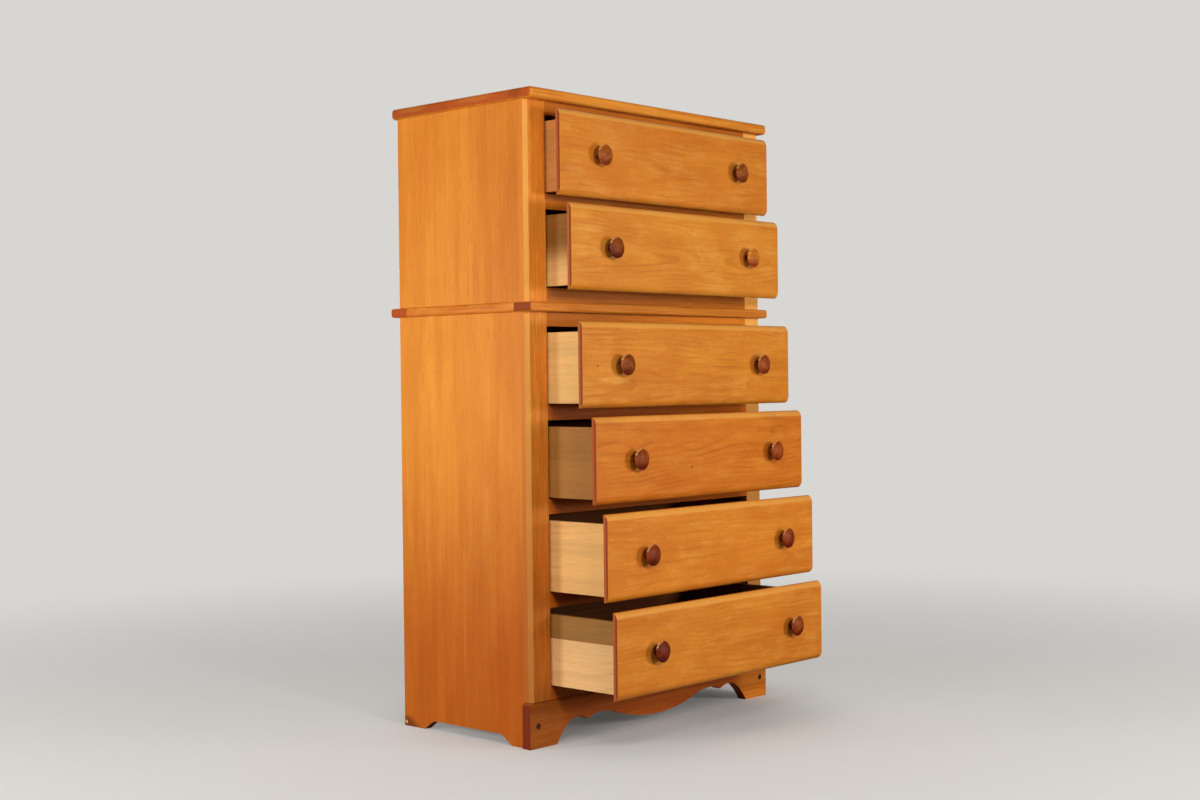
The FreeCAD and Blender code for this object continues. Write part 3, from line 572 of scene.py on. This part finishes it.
def wood_finish(
    name,
    colours,
    grain,
    seed,
    across=UPRIGHT,
    board_width=10.0,
    board_start=-5.0,
    heart=(0.0, 0.0, 0.0),
    slope=0.03,
    spacing=0.008,
    waviness=0.02,
    run=0.4,
    lines=0.35,
    streaks=0.8,
    bands=0.6,
    pores=0.25,
    board_tone=0.1,
    blotch=0.25,
    blotch_size=0.05,
    glow=0.0,
    tones=(),
    fades=(),
    end_fade=None,
    spots=(),
    roughness=0.46,
    worn=0.3,
):
    """A sawn and finished board.

    colours are (pale, deep, line, end, rubbed). seed gives each board another part of the figure.
    heart is a point in the middle of the growth rings, slope how fast they widen along the grain,
    spacing their distance, waviness their sway, and run how far the figure goes before it changes.
    tones colour what faces one way: (facing direction, colour, share).
    fades multiply the colour past a place: (direction, start, end, colour, share).
    end_fade has the same five values, and lays its colour over cut ends only.
    spots are (centre, size, colour, share).
    """
    pale, deep, line_colour, end_colour, rubbed = colours
    made, tree, shader = new_finish(name)
    position = tree.add("TexCoord").outputs["Object"]
    wood = tree.group(
        "Board Grain",
        position=position,
        grain=grain,
        across=across,
        board_width=board_width,
        board_start=board_start,
        heart=heart,
        slope=slope,
        spacing=spacing,
        waviness=waviness,
        run=run,
        seed=seed,
    )

    def cloud(size, seed):
        return tree.group("Stain Blotch", position=position, grain=grain, size=size, seed=seed)["Mask"]

    def fade(direction, start, end):
        return tree.group("Fade", position=position, direction=direction, start=start, end=end)["Mask"]

    figure = tree.sway(0.5, wood["Streak"], streaks)
    colour = tree.blend(tree.sway(figure, wood["Band"], bands, clamp=True), deep, pale)
    colour = tree.cover(colour, line_colour, wood["Line"], lines)
    colour = tree.cover(colour, line_colour, wood["Pore"], pores)
    colour = tree.cover(colour, deep, cloud(blotch_size, seed), blotch)
    # Clear patches are smaller clouds, where the streaks are pale
    if glow:
        clear = tree.maths("POWER", cloud(0.6 * blotch_size, seed + 5), 2.0)
        colour = tree.cover(colour, rubbed, tree.maths("MULTIPLY", clear, wood["Streak"]), glow)
    for direction, other, share in tones:
        colour = tree.cover(colour, other, tree.group("Facing", direction=direction)["Mask"], share)
    for direction, start, end, other, share in fades:
        colour = tree.cover(colour, other, fade(direction, start, end), share, "MULTIPLY")
    end_mask = tree.group("End Grain", grain=grain)["Mask"]
    speckled = tree.maths("MULTIPLY_ADD", wood["Line"], 0.5, tree.maths("MULTIPLY", figure, 0.4))
    cut = tree.blend(speckled, end_colour, line_colour)
    if end_fade:
        direction, start, end, other, share = end_fade
        cut = tree.cover(cut, other, fade(direction, start, end), share)
    colour = tree.blend(end_mask, colour, cut)
    for centre, size, other, share in spots:
        mask = tree.group("Spot", position=position, centre=centre, size=size)["Mask"]
        colour = tree.cover(colour, other, mask, share)
    board = tree.sway(1.0, wood["Board"], board_tone)
    colour = tree.scaled(colour, tree.sway(board, wood["Fibre"], FIBRE_TONE))
    colour = tree.cover(colour, rubbed, tree.group("Rubbed Edge", position=position)["Mask"], worn)
    # Painted shade: the wood darkens deep in corners and joints, where shade falls
    corner = tree.group("Corner Shade")["Mask"]
    colour = tree.scaled(colour, tree.maths("MULTIPLY_ADD", corner, -CORNER_PAINTED_SHADE, 1.0))
    tree.feed(shader.inputs["Base Color"], colour)
    # Streaks, cut ends and the corners under the painted shade are each a little rougher
    sheen = tree.maths("MULTIPLY_ADD", wood["Streak"], 0.08, roughness - 0.04)
    sheen = tree.maths("MULTIPLY_ADD", end_mask, 0.12, sheen)
    sheen = tree.maths("MULTIPLY_ADD", corner, 0.2, sheen, clamp=True)
    tree.feed(shader.inputs["Roughness"], sheen)
    bump = tree.add("Bump", {"Height": wood["Height"], "Strength": 0.25, "Distance": 0.0004})
    tree.feed(shader.inputs["Normal"], bump.outputs["Normal"])
    return made


def give(finish, *names):
    """Puts one finish in every material slot of these pieces."""
    for name in names:
        for slot in NODES[name].material_slots:
            slot.material = finish


def ease_edges(width, *names):
    """Rubs the sharp edges of these pieces down by width, with modifiers only."""
    for name in names:
        piece = NODES[name]
        weld = piece.modifiers.new("Weld corners", "WELD")
        weld.merge_threshold = 0.00001
        flat = piece.modifiers.new("Whole faces", "DECIMATE")
        flat.decimate_type = "DISSOLVE"
        flat.angle_limit = math.radians(1)
        edge = piece.modifiers.new("Eased edges", "BEVEL")
        edge.limit_method = "ANGLE"
        edge.angle_limit = math.radians(40)
        edge.width = width
        edge.segments = 2
        piece.modifiers.new("Clean shading", "WEIGHTED_NORMAL")


# ---- operators


def case_colours(settings, pale=None):
    """The colours of a case's wood, with its pale one replaced where another is given."""
    return (pale or settings.pale, settings.deep, settings.line, settings.end, settings.rubbed)


def two_colours(pale, deep):
    """The colours of a plain wood of two shades."""
    return (pale, deep, deep, deep, pale)


def shaded(colour, tone):
    """The colour with its red, green and blue each scaled."""
    return tuple(part * share for part, share in zip(colour, tone))


def toned(colours, tone):
    """Each of the colours, shaded alike."""
    return tuple(shaded(colour, tone) for colour in colours)


def outward(name):
    """-1 for a piece on the left, 1 for one on the right."""
    return -1.0 if "left" in name else 1.0


class CHEST_OT_case_sides(bpy.types.Operator):
    """Finishes the four case sides in glued-up boards of upright maple"""

    bl_idname = "chest.case_sides"
    bl_label = "Case sides"

    def execute(self, context):
        case = context.scene.chest_case
        colours = case_colours(case)
        names = [corner + "_side" for corner in CORNERS]
        for number, name in enumerate(names):
            out = outward(name)
            lower = name.startswith("lower")
            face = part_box(name)[0].x if out < 0 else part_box(name)[1].x
            foot = (face, BACK_OF_CASE, 0.0)
            dot = (face, BACK_OF_CASE - 0.006, 0.0085)
            seam = (face, FRAME_PLANE + 0.03, 0.17)
            marks = [
                (seam, (0.03, 0.016, 0.11), case.line, 0.35),
                (foot, (0.03, 0.05, 0.022), case.stain, 0.75),
            ]
            if out < 0:
                marks.append((dot, (0.004, 0.004, 0.004), case.rubbed, 1.0))
            finish = wood_finish(
                name + "_maple",
                toned(colours, LOWER_SIDE_TONE) if lower else colours,
                grain=UPRIGHT,
                seed=3.0 + number,
                across=LENGTHWAYS,
                board_width=case.board_width,
                board_start=FRAME_PLANE,
                heart=(out * 0.26, 0.1, 0.0),
                slope=0.006,
                spacing=0.007,
                waviness=0.012,
                run=0.2,
                lines=0.08,
                streaks=0.3,
                bands=0.4,
                pores=0.35,
                board_tone=0.06,
                blotch=0.36,
                blotch_size=0.07,
                fades=[
                    (LENGTHWAYS, 0.08, -0.05, case.near, 1.0),
                    # Partly redder wood, partly painted shade, darker towards the floor
                    (UPRIGHT, 0.7, 0.12, case.foot, float(lower)),
                ],
                spots=marks if lower else (),
            )
            give(finish, name)
        ease_edges(case.ease, *names)
        return {"FINISHED"}


class CHEST_OT_stiles(bpy.types.Operator):
    """Finishes the four stiles with their chamfered corners"""

    bl_idname = "chest.stiles"
    bl_label = "Stiles"

    def execute(self, context):
        case = context.scene.chest_case
        names = [corner + "_stile" for corner in CORNERS]
        for number, name in enumerate(names):
            out = outward(name)
            tones = [
                # Painted light on the chamfer faces
                ((out * DIAGONAL, -DIAGONAL, 0.0), case.chamfer, 0.8),
                ((out, 0.0, 0.0), case.flank, 0.85),
            ]
            if out > 0:
                # Painted light on the right stiles' faces
                tones.append((TO_THE_FRONT, case.right, 0.8))
            finish = wood_finish(
                name + "_maple",
                case_colours(case, case.frame),
                grain=UPRIGHT,
                seed=11.0 + number,
                heart=(0.2, 0.3, 0.0),
                slope=0.01,
                run=0.16,
                lines=0.2,
                streaks=0.55,
                bands=0.4,
                blotch=0.2,
                blotch_size=0.03,
                glow=0.3,
                tones=tones,
                fades=[
                    # Painted shade, darker towards the bottom
                    (UPRIGHT, 0.9, 0.15, STILE_PAINTED_SHADE, 1.0),
                    # Painted shade: a thin dark line on the stile along its joint with the apron
                    (UPRIGHT, APRON_TOP + 0.0025, APRON_TOP + 0.0005, case.stain, 0.75),
                ],
            )
            give(finish, name)
        ease_edges(case.ease / 2, *names)
        return {"FINISHED"}


class CHEST_OT_rails(bpy.types.Operator):
    """Finishes the front rails between the drawers"""

    bl_idname = "chest.rails"
    bl_label = "Front rails"

    def execute(self, context):
        case = context.scene.chest_case
        for number, level in enumerate(("upper", "lower")):
            finish = wood_finish(
                level + "_rail_maple",
                case_colours(case, case.rail),
                grain=SIDEWAYS,
                seed=21.0 + number,
                heart=(0, 0.1, 0.3),
                run=0.2,
                lines=0.3,
                fades=[
                    # Painted shade on the lower rails
                    (UPRIGHT, 0.8, 0.7, case.shade, 1.0),
                    # Painted shade on the upper rail below the second drawer
                    (UPRIGHT, 1.0, 0.93, UPPER_RAIL_PAINTED_SHADE, float(level == "upper")),
                    # Painted light, paler towards the right
                    (SIDEWAYS, -0.1, 0.3, LOWER_RAIL_PAINTED_LIGHT, float(level == "lower")),
                ],
            )
            give(finish, level + "_front_rails")
            ease_edges(case.ease, level + "_front_rails")
        return {"FINISHED"}


class CHEST_OT_top_board(bpy.types.Operator):
    """Finishes the top board, glued up from long boards with end grain at both sides"""

    bl_idname = "chest.top_board"
    bl_label = "Top board"

    def execute(self, context):
        case = context.scene.chest_case
        pale, deep, line, end, rubbed = case_colours(case)
        low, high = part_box("top_board")
        finish = wood_finish(
            "top_board_maple",
            (pale, deep, line, shaded(end, TOP_END_TONE), rubbed),
            grain=SIDEWAYS,
            seed=31.0,
            across=LENGTHWAYS,
            board_width=0.178,
            board_start=-0.0487,
            heart=(0.0, 0.05, 1.12),
            slope=0.02,
            spacing=0.006,
            run=0.25,
            lines=0.35,
            board_tone=0.24,
            glow=0.3,
            spots=[
                ((low.x, low.y + 0.045, high.z - 0.008), (0.01, 0.022, 0.014), case.stain, 0.3),
                ((low.x, low.y + 0.16, high.z - 0.006), (0.01, 0.06, 0.009), case.rubbed, 0.12),
                ((low.x, high.y - 0.07, high.z - 0.006), (0.01, 0.05, 0.009), case.rubbed, 0.12),
            ],
        )
        give(finish, "top_board")
        return {"FINISHED"}


class CHEST_OT_waist(bpy.types.Operator):
    """Finishes the flat frame between the two cases"""

    bl_idname = "chest.waist"
    bl_label = "Waist frame"

    def execute(self, context):
        case = context.scene.chest_case
        pale, deep, line, end, rubbed = toned(case_colours(case), WAIST_RAIL_TONE)
        for number, (name, end_tone) in enumerate(WAIST_END_TONES.items()):
            long_rail = wood_finish(
                name + "_maple",
                (pale, deep, line, shaded(end, end_tone), rubbed),
                grain=SIDEWAYS,
                seed=41.0 + number,
                heart=(0, 0, 0.7),
                slope=0.02,
                spacing=0.005,
                run=0.2,
                lines=0.35,
            )
            give(long_rail, name)
        short_rail = wood_finish(
            "waist_end_maple",
            toned(case_colours(case), WAIST_SIDE_TONE),
            grain=LENGTHWAYS,
            seed=44.0,
            heart=(0, 0, 0.8),
            slope=0.05,
            spacing=0.006,
            waviness=0.03,
            run=0.12,
            lines=0.5,
            blotch=0.3,
            blotch_size=0.03,
            glow=0.6,
        )
        give(short_rail, "waist_side_rails")
        return {"FINISHED"}


class CHEST_OT_base(bpy.types.Operator):
    """Finishes the scroll-cut apron and its two plugs"""

    bl_idname = "chest.base"
    bl_label = "Apron and plugs"

    def execute(self, context):
        case = context.scene.chest_case
        knobs = context.scene.chest_knobs
        # The apron's colours are darkened as painted shade, and made paler again at its right foot as painted
        # light
        pale, deep, line, end, rubbed = toned(case_colours(case), APRON_PAINTED_SHADE)
        apron = wood_finish(
            "apron_maple",
            (pale, deep, line, shaded(end, APRON_END_TONE), rubbed),
            grain=SIDEWAYS,
            seed=51.0,
            heart=(0, 0, -0.1),
            slope=0.02,
            run=0.15,
            lines=0.35,
            blotch=0.3,
            fades=[
                (TO_THE_LEFT, 0.27, 0.32, APRON_LEFT, 1.0),
                (SIDEWAYS, 0.24, 0.32, APRON_RIGHT_PAINTED_LIGHT, 1.0),
            ],
            worn=0.1,
        )
        give(apron, "base_apron")
        plug = wood_finish(
            "plug_wood",
            (knobs.plug, knobs.pore, knobs.pore, knobs.plug, knobs.deep),
            grain=LENGTHWAYS,
            seed=52.0,
            spacing=0.0015,
            lines=0.6,
            worn=0.1,
        )
        give(plug, "apron_plugs")
        return {"FINISHED"}


class CHEST_OT_drawer_fronts(bpy.types.Operator):
    """Finishes the six lipped fronts, each with its own figure"""

    bl_idname = "chest.drawer_fronts"
    bl_label = "Drawer fronts"

    def execute(self, context):
        front = context.scene.chest_fronts
        colours = (front.pale, front.deep, front.line, front.end, front.rubbed)
        for number in DRAWERS:
            low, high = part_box(f"drawer_{number}_front")
            middle = (low.z + high.z) / 2
            stained = low.y + END_STAIN_DEPTH
            lines, heart_drop, heart_depth, spacing = FRONT_LINES[number]
            marks = []
            for place, size in PIN_KNOTS.get(number, ()):
                marks.append((place, (size, size, size * 0.8), front.knot, 0.8))
            if number == 3:
                marks.append((*CLEAR_STREAK, front.rubbed, 0.3))
            finish = wood_finish(
                f"drawer_{number}_front_maple",
                toned(colours, FRONT_TONES[number]),
                grain=SIDEWAYS,
                seed=60.0 + 3 * number,
                heart=(0.0, low.y + heart_depth, middle - heart_drop),
                slope=0.04,
                spacing=spacing,
                waviness=0.03,
                run=0.12,
                lines=lines,
                streaks=0.22,
                bands=0.3,
                blotch=0.4,
                blotch_size=0.045,
                glow=0.2,
                # Painted highlight on the upward-facing top round-over
                tones=[((0.0, -0.82, 0.57), front.band, 0.5)],
                end_fade=(LENGTHWAYS, stained + 0.001, stained - 0.001, front.end_dark, 0.9),
                spots=marks,
            )
            give(finish, f"drawer_{number}_front")
            ease_edges(front.ease, f"drawer_{number}_front")
        return {"FINISHED"}


class CHEST_OT_drawer_boxes(bpy.types.Operator):
    """Finishes the sides, backs and bottoms of the six drawer boxes"""

    bl_idname = "chest.drawer_boxes"
    bl_label = "Drawer boxes"

    def execute(self, context):
        box = context.scene.chest_boxes
        shades = {1: box.tan, 2: box.cream, 3: box.cream, 4: box.olive, 5: box.blush, 6: box.pinkish}
        for number in DRAWERS:
            pale = shades[number]
            low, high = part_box(f"drawer_{number}_left_side")
            fades, marks = [], []
            if number == 2:
                heart = shaded(box.heart, SECOND_HEART_TONE)
                fades.append((UPRIGHT, low.z + 0.02, high.z - 0.05, heart, 1.0))
                knot = (low.x, FRAME_PLANE - 0.022, high.z - 0.022)
                marks.append((knot, (0.008, 0.012, 0.009), box.bottom, 0.7))
            if number == 6:
                fades.append((UPRIGHT, high.z - 0.0485, high.z - 0.0465, box.heart, 1.0))
            sides = wood_finish(
                f"drawer_{number}_side_wood",
                (pale, shaded(pale, BOX_DEEP_TONE), box.line, box.end, box.cream),
                grain=LENGTHWAYS,
                seed=90.0 + number,
                heart=(0.0, 0.0, low.z - 0.04),
                spacing=0.006,
                run=0.3,
                lines=0.2,
                streaks=0.45,
                blotch=0.2,
                fades=fades,
                spots=marks,
                worn=0.2,
                roughness=0.6,
            )
            give(sides, f"drawer_{number}_left_side", f"drawer_{number}_right_side")
            ease_edges(box.ease, *(f"drawer_{number}_{part}" for part in ("left_side", "right_side", "back")))
        bottom = wood_finish(
            "drawer_back_wood",
            two_colours(box.bottom, shaded(box.bottom, BOTTOM_DEEP_TONE)),
            grain=SIDEWAYS,
            seed=110.0,
            spacing=0.02,
            streaks=1.0,
            roughness=0.55,
        )
        give(bottom, *(f"drawer_{number}_{part}" for number in DRAWERS for part in ("back", "bottom")))
        return {"FINISHED"}


class CHEST_OT_knobs(bpy.types.Operator):
    """Finishes the twelve turned walnut knobs"""

    bl_idname = "chest.knobs"
    bl_label = "Knobs"

    def execute(self, context):
        knob = context.scene.chest_knobs
        for number in DRAWERS:
            lean = math.radians(20 + 37 * number)  # each pair is turned from its own blank
            low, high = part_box(f"drawer_{number}_knobs")
            middle = (low.z + high.z) / 2
            left_tone, right_tone = KNOB_TONES[number]
            # Painted highlights on the upper left of each knob's rim
            rim = []
            for side in (-1, 1):
                for turn in RIM_HIGHLIGHT_TURNS:
                    across = side * KNOB_PLACE + RIM_RADIUS * math.cos(turn)
                    place = (across, high.y - RIM_FORWARD, middle + RIM_RADIUS * math.sin(turn))
                    rim.append((place, RIM_HIGHLIGHT_SIZE, knob.rim, 0.75))
            finish = wood_finish(
                f"drawer_{number}_knob_walnut",
                toned((knob.pale, knob.deep, knob.pore, knob.deep, knob.rim), left_tone),
                grain=(math.sin(lean), 0.0, math.cos(lean)),
                seed=120.0 + number,
                spacing=0.004,
                waviness=0.01,
                run=0.06,
                lines=0.4,
                streaks=1.0,
                fades=[
                    (SIDEWAYS, -0.01, 0.01, right_tone, 1.0),
                    # Painted shade, darker below the knob's middle
                    (UPRIGHT, middle - 0.002, middle - 0.018, knob.lower_painted_shade, 1.0),
                ],
                spots=rim,
                roughness=0.48,
                # The strong rubbed edge is partly a painted highlight round the rim
                worn=0.8,
            )
            give(finish, f"drawer_{number}_knobs")
        return {"FINISHED"}


class CHEST_OT_inside(bpy.types.Operator):
    """Finishes the runners, cleats, blocks, rear rails and back panels"""

    bl_idname = "chest.inside"
    bl_label = "Inside and back"

    def execute(self, context):
        inside = context.scene.chest_inside
        plain = two_colours(inside.runner, inside.runner_deep)
        for name, grain, seed, pieces in (
            ("runner_wood", LENGTHWAYS, 130.0, ("upper_runners", "lower_runners")),
            ("rear_rail_wood", SIDEWAYS, 131.0, ("upper_back_rails", "lower_back_rails", "cleats")),
            ("glue_block_wood", UPRIGHT, 132.0, ("glue_blocks",)),
        ):
            give(wood_finish(name, plain, grain, seed, roughness=0.65, worn=0.1), *pieces)
        panel = wood_finish(
            "back_panel_wood",
            two_colours(inside.panel, inside.panel_deep),
            grain=UPRIGHT,
            seed=133.0,
            heart=(0.1, 0.5, 0.0),
            spacing=0.02,
            waviness=0.08,
            lines=0.4,
            roughness=0.6,
        )
        give(panel, "upper_back_panel", "lower_back_panel")
        return {"FINISHED"}


class CHEST_OT_studio(bpy.types.Operator):
    """Sets up the camera, five soft lamps, a pale floor and a pale backdrop"""

    bl_idname = "chest.studio"
    bl_label = "Studio"

    def execute(self, context):
        studio = context.scene.chest_studio
        self.place_camera(context.scene, studio)
        for name, place in LAMPS.items():
            self.place_lamp(context.scene, name.replace("_", " "), *place, getattr(studio, name))
        self.lay_floor(context.scene, studio)
        self.light_world(context.scene, studio)
        context.scene.view_settings.view_transform = "Standard"
        return {"FINISHED"}

    def place_camera(self, scene, studio):
        heading, tilt, roll = studio.camera_heading, studio.camera_tilt, studio.camera_roll
        ahead = Vector(
            (math.sin(heading) * math.cos(tilt), math.cos(heading) * math.cos(tilt), math.sin(tilt))
        )
        level = Vector((math.cos(heading), -math.sin(heading), 0.0))
        above = level.cross(ahead)
        right = level * math.cos(roll) + above * math.sin(roll)
        up = above * math.cos(roll) - level * math.sin(roll)
        lens = bpy.data.cameras.new("camera")
        lens.lens = studio.camera_lens
        lens.clip_end = CAMERA_REACH
        camera = bpy.data.objects.new("camera", lens)
        scene.collection.objects.link(camera)
        turn = Matrix((right, up, -ahead)).transposed().to_4x4()
        camera.matrix_world = Matrix.Translation(studio.camera_place) @ turn
        scene.camera = camera

    def place_lamp(self, scene, name, azimuth, elevation, width, power):
        """A round lamp that faces the chest."""
        turn, rise = math.radians(azimuth), math.radians(elevation)
        towards = Vector((math.sin(turn) * math.cos(rise), -math.cos(turn) * math.cos(rise), math.sin(rise)))
        light = bpy.data.lights.new(name, "AREA")
        light.shape = "DISK"
        light.size = width
        light.energy = power
        lamp = bpy.data.objects.new(name, light)
        scene.collection.objects.link(lamp)
        lamp.location = LAMP_AIM + LAMP_DISTANCE * towards
        lamp.rotation_euler = towards.to_track_quat("Z", "Y").to_euler()

    def lay_floor(self, scene, studio):
        mesh = bpy.data.meshes.new("floor")
        corners = ((-1, -1), (1, -1), (1, 1), (-1, 1))
        mesh.from_pydata([(x * FLOOR_REACH, y * FLOOR_REACH, 0) for x, y in corners], [], [(0, 1, 2, 3)])
        floor = bpy.data.objects.new("floor", mesh)
        scene.collection.objects.link(floor)
        made = bpy.data.materials.new("pale_floor")
        made.use_nodes = True
        made.node_tree.nodes.clear()
        tree = ShaderTree(made.node_tree)
        seen = tree.add("LightPath").outputs["Is Camera Ray"]
        matte = tree.add("BsdfDiffuse")
        tree.feed(matte.inputs["Color"], tree.blend(seen, (studio.bounce,) * 3, studio.floor))
        plain = tree.add("Emission", {"Color": studio.backdrop})
        distance = tree.vector("LENGTH", tree.add("TexCoord").outputs["Object"])
        mixed = tree.add("MixShader")
        clear = tree.maths("MULTIPLY", tree.ramp(distance, *NEAR_FLOOR), tree.ramp(distance, *FAR_FLOOR))
        tree.feed(mixed.inputs[0], tree.maths("MULTIPLY", seen, clear))
        tree.feed(mixed.inputs[1], matte.outputs["BSDF"])
        tree.feed(mixed.inputs[2], plain.outputs["Emission"])
        tree.feed(tree.add("OutputMaterial").inputs["Surface"], mixed.outputs["Shader"])
        mesh.materials.append(made)

    def light_world(self, scene, studio):
        world = bpy.data.worlds.new("studio")
        scene.world = world
        world.use_nodes = True
        world.node_tree.nodes.clear()
        tree = ShaderTree(world.node_tree)
        seen = tree.add("LightPath").outputs["Is Camera Ray"]
        behind = tree.vector("DOT_PRODUCT", tree.add("TexCoord").outputs["Generated"], REAR_LIGHT)
        soft = tree.ramp(behind, *REAR_SPREAD, start=studio.fill, end=studio.rear_fill)
        light = tree.add("CombineColor", {"Red": soft, "Green": soft, "Blue": soft}).outputs["Color"]
        sky = tree.add("Background", {"Color": tree.blend(seen, light, studio.backdrop)})
        tree.feed(tree.add("OutputWorld").inputs["Surface"], sky.outputs["Background"])


class CHEST_PT_finish(bpy.types.Panel):
    """Lists the finishes and the studio"""

    bl_idname = "CHEST_PT_finish"
    bl_label = "Chest on chest"
    bl_space_type = "VIEW_3D"
    bl_region_type = "UI"
    bl_category = "Chest"

    def draw(self, context):
        for operator in OPERATORS:
            self.layout.operator(operator.bl_idname)
        for name in SETTINGS:
            settings = getattr(context.scene, name)
            column = self.layout.column(heading=name.replace("_", " ").capitalize())
            for key in type(settings).__annotations__:
                column.prop(settings, key)


SETTINGS = {
    "chest_case": ChestCaseSettings,
    "chest_fronts": ChestFrontSettings,
    "chest_boxes": ChestBoxSettings,
    "chest_inside": ChestInsideSettings,
    "chest_knobs": ChestKnobSettings,
    "chest_studio": ChestStudioSettings,
}
OPERATORS = (
    CHEST_OT_case_sides,
    CHEST_OT_stiles,
    CHEST_OT_rails,
    CHEST_OT_top_board,
    CHEST_OT_waist,
    CHEST_OT_base,
    CHEST_OT_drawer_fronts,
    CHEST_OT_drawer_boxes,
    CHEST_OT_knobs,
    CHEST_OT_inside,
    CHEST_OT_studio,
)


def register():
    for made in (*SETTINGS.values(), *OPERATORS, CHEST_PT_finish):
        bpy.utils.register_class(made)
    for name, kind in SETTINGS.items():
        setattr(bpy.types.Scene, name, bpy.props.PointerProperty(type=kind))


def unregister():
    for name in SETTINGS:
        delattr(bpy.types.Scene, name)
    for made in reversed((*SETTINGS.values(), *OPERATORS, CHEST_PT_finish)):
        bpy.utils.unregister_class(made)


def main():
    """Registers the classes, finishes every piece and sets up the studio."""
    register()
    bpy.ops.chest.case_sides()
    bpy.ops.chest.stiles()
    bpy.ops.chest.rails()
    bpy.ops.chest.top_board()
    bpy.ops.chest.waist()
    bpy.ops.chest.base()
    bpy.ops.chest.drawer_fronts()
    bpy.ops.chest.drawer_boxes()
    bpy.ops.chest.knobs()
    bpy.ops.chest.inside()
    bpy.ops.chest.studio()


if __name__ == "__main__":
    main()
